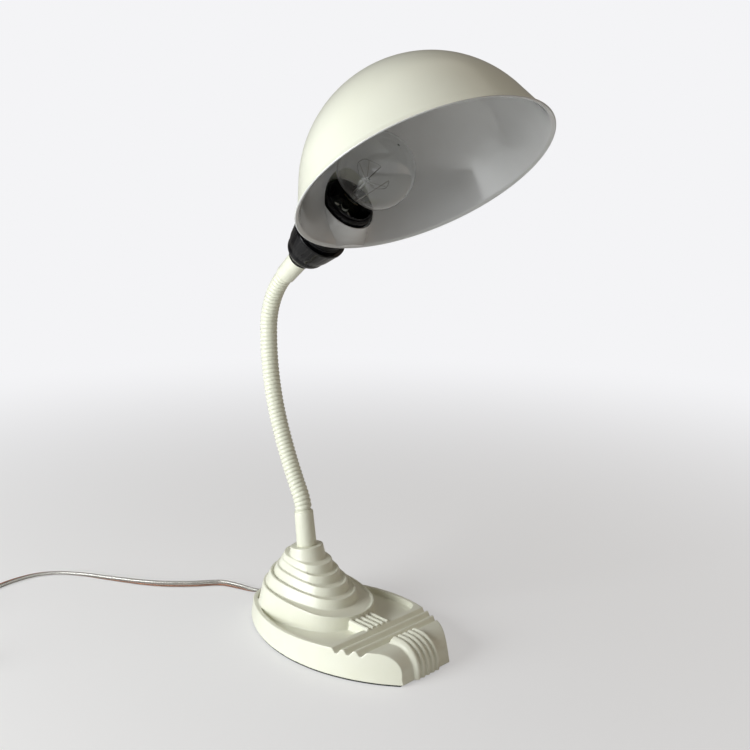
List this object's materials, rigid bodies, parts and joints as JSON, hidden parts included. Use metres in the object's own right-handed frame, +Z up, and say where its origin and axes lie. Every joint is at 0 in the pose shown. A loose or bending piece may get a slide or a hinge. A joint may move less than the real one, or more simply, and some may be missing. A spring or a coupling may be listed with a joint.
{
  "type": "gooseneck desk lamp",
  "caption": "Gooseneck desk lamp with a stepped streamlined cast base, ribbed flexible neck, black lampholder entering a spun dome shade from the side, clear bulb, cord, switch and plug.",
  "frame": {"origin": "on the resting plane, below the point where the stem's axis meets it", "axes": "+Z up, -Y towards the blunt front of the base, X = 0 through the middle of the base and the neck"},
  "size_m": [0.4943, 0.4845, 0.4744],
  "materials": {
    "enamel_ivory": "glossy ivory stove enamel",
    "felt": "dark green-black felt",
    "rubber_black": "moulded",
    "cord_clear": "clear vinyl over tinned and bare wire",
    "brass": "turned and plain",
    "zinc": "zinc plated",
    "phenolic": "polished black phenolic",
    "porcelain": "glazed white porcelain",
    "cap_metal": "drawn",
    "glass_black": "black glass",
    "solder": "solder",
    "bulb_glass": "clear",
    "nickel_wire": "drawn wire",
    "tungsten": "coiled wire",
    "wheel_plastic": "knurled"
  },
  "bodies": {
    "base": {"base_casting": "enamel_ivory", "base_pad": "felt", "cord_bushing": "rubber_black", "inner_cord": "cord_clear", "stem_nipple": "brass", "stem_washer": "zinc", "stem_nut": "zinc", "lower_ferrule": "enamel_ivory", "neck_coil_01": "enamel_ivory", "supply_cord": "cord_clear", "switch_cord": "cord_clear", "plug_cord": "cord_clear", "cord_coil": "cord_clear", "switch_base": "phenolic", "switch_cover": "phenolic", "switch_screws": "zinc", "plug_body": "rubber_black", "plug_blades": "brass"},
    "neck_02": {"neck_coil_02": "enamel_ivory"},
    "neck_03": {"neck_coil_03": "enamel_ivory"},
    "neck_04": {"neck_coil_04": "enamel_ivory"},
    "neck_05": {"neck_coil_05": "enamel_ivory"},
    "neck_06": {"neck_coil_06": "enamel_ivory"},
    "neck_07": {"neck_coil_07": "enamel_ivory"},
    "neck_08": {"neck_coil_08": "enamel_ivory"},
    "neck_09": {"neck_coil_09": "enamel_ivory"},
    "neck_10": {"neck_coil_10": "enamel_ivory"},
    "neck_11": {"neck_coil_11": "enamel_ivory"},
    "head": {"neck_coil_12": "enamel_ivory", "upper_ferrule": "enamel_ivory", "holder_nipple": "brass", "holder_nut": "zinc", "holder_cap": "phenolic", "holder_insert": "porcelain", "terminal_screws": "brass", "holder_leads": "cord_clear", "screw_shell": "brass", "centre_contact": "brass", "holder_skirt": "phenolic"},
    "shade": {"shade_dome": "enamel_ivory"},
    "rear_ring": {"outer_ring": "phenolic"},
    "front_ring": {"shade_ring": "phenolic"},
    "bulb": {"bulb_cap": "cap_metal", "bulb_insulator": "glass_black", "bulb_contact": "solder", "bulb_glass": "bulb_glass", "bulb_stem": "bulb_glass", "bulb_supports": "nickel_wire", "filament": "tungsten"},
    "wheel": {"switch_wheel": "wheel_plastic"}
  },
  "joints": [
    {"name": "lower_bend", "type": "hinge", "parent": "base", "child": "neck_02", "pos_m": [0, 0.00906, 0.11725], "axis": [1, 0, 0], "range_deg": [-6, 6]},
    {"name": "side_bend", "type": "hinge", "parent": "neck_02", "child": "neck_03", "pos_m": [0, 0.01758, 0.13358], "axis": [0, 0.8975, -0.4411], "range_deg": [-6.5, 6.5]},
    {"name": "neck_joint_03", "type": "hinge", "parent": "neck_03", "child": "neck_04", "pos_m": [0, 0.0253, 0.1503], "axis": [1, 0, 0], "range_deg": [-6, 6]},
    {"name": "neck_joint_04", "type": "hinge", "parent": "neck_04", "child": "neck_05", "pos_m": [0, 0.0322, 0.16737], "axis": [0, 0.9358, -0.3527], "range_deg": [-6.5, 6.5]},
    {"name": "neck_joint_05", "type": "hinge", "parent": "neck_05", "child": "neck_06", "pos_m": [0, 0.0381, 0.18481], "axis": [1, 0, 0], "range_deg": [-6, 6]},
    {"name": "neck_joint_06", "type": "hinge", "parent": "neck_06", "child": "neck_07", "pos_m": [0, 0.04253, 0.20268], "axis": [0, 0.9799, -0.1995], "range_deg": [-6.5, 6.5]},
    {"name": "upper_bend", "type": "hinge", "parent": "neck_07", "child": "neck_08", "pos_m": [0, 0.04544, 0.22086], "axis": [1, 0, 0], "range_deg": [-7, 4.5]},
    {"name": "neck_joint_08", "type": "hinge", "parent": "neck_08", "child": "neck_09", "pos_m": [0, 0.04681, 0.23922], "axis": [0, 0.9995, -0.0328], "range_deg": [-6.5, 6.5]},
    {"name": "neck_joint_09", "type": "hinge", "parent": "neck_09", "child": "neck_10", "pos_m": [0, 0.04664, 0.25763], "axis": [1, 0, 0], "range_deg": [-7, 4.5]},
    {"name": "neck_joint_10", "type": "hinge", "parent": "neck_10", "child": "neck_11", "pos_m": [0, 0.04317, 0.27565], "axis": [0, 0.9454, 0.3259], "range_deg": [-6.5, 6.5]},
    {"name": "neck_joint_11", "type": "hinge", "parent": "neck_11", "child": "head", "pos_m": [0, 0.0348, 0.29199], "axis": [1, 0, 0], "range_deg": [-7, 4.5]},
    {"name": "shade_turn", "type": "hinge", "parent": "head", "child": "shade", "pos_m": [0, -0.05216, 0.36447], "axis": [0, -0.7826, 0.6225], "continuous": true},
    {"name": "rear_ring_turn", "type": "hinge", "parent": "head", "child": "rear_ring", "pos_m": [0, -0.04957, 0.36241], "axis": [0, -0.7826, 0.6225], "continuous": true},
    {"name": "front_ring_turn", "type": "hinge", "parent": "head", "child": "front_ring", "pos_m": [0, -0.05552, 0.36714], "axis": [0, -0.7826, 0.6225], "continuous": true},
    {"name": "bulb_turn", "type": "hinge", "parent": "head", "child": "bulb", "pos_m": [0, -0.04394, 0.35793], "axis": [0, -0.7826, 0.6225], "continuous": true},
    {"name": "wheel_turn", "type": "hinge", "parent": "base", "child": "wheel", "pos_m": [-0.2542, 0.2302, 0.006], "axis": [0, 0, 1], "range_deg": [0, 90]}
  ],
  "couplings": [
    {"joint": "neck_joint_03", "follows": "lower_bend", "ratio": 1},
    {"joint": "neck_joint_05", "follows": "lower_bend", "ratio": 1},
    {"joint": "neck_joint_09", "follows": "upper_bend", "ratio": 1},
    {"joint": "neck_joint_11", "follows": "upper_bend", "ratio": 1},
    {"joint": "neck_joint_04", "follows": "side_bend", "ratio": 1},
    {"joint": "neck_joint_06", "follows": "side_bend", "ratio": 1},
    {"joint": "neck_joint_08", "follows": "side_bend", "ratio": 1},
    {"joint": "neck_joint_10", "follows": "side_bend", "ratio": 1}
  ]
}
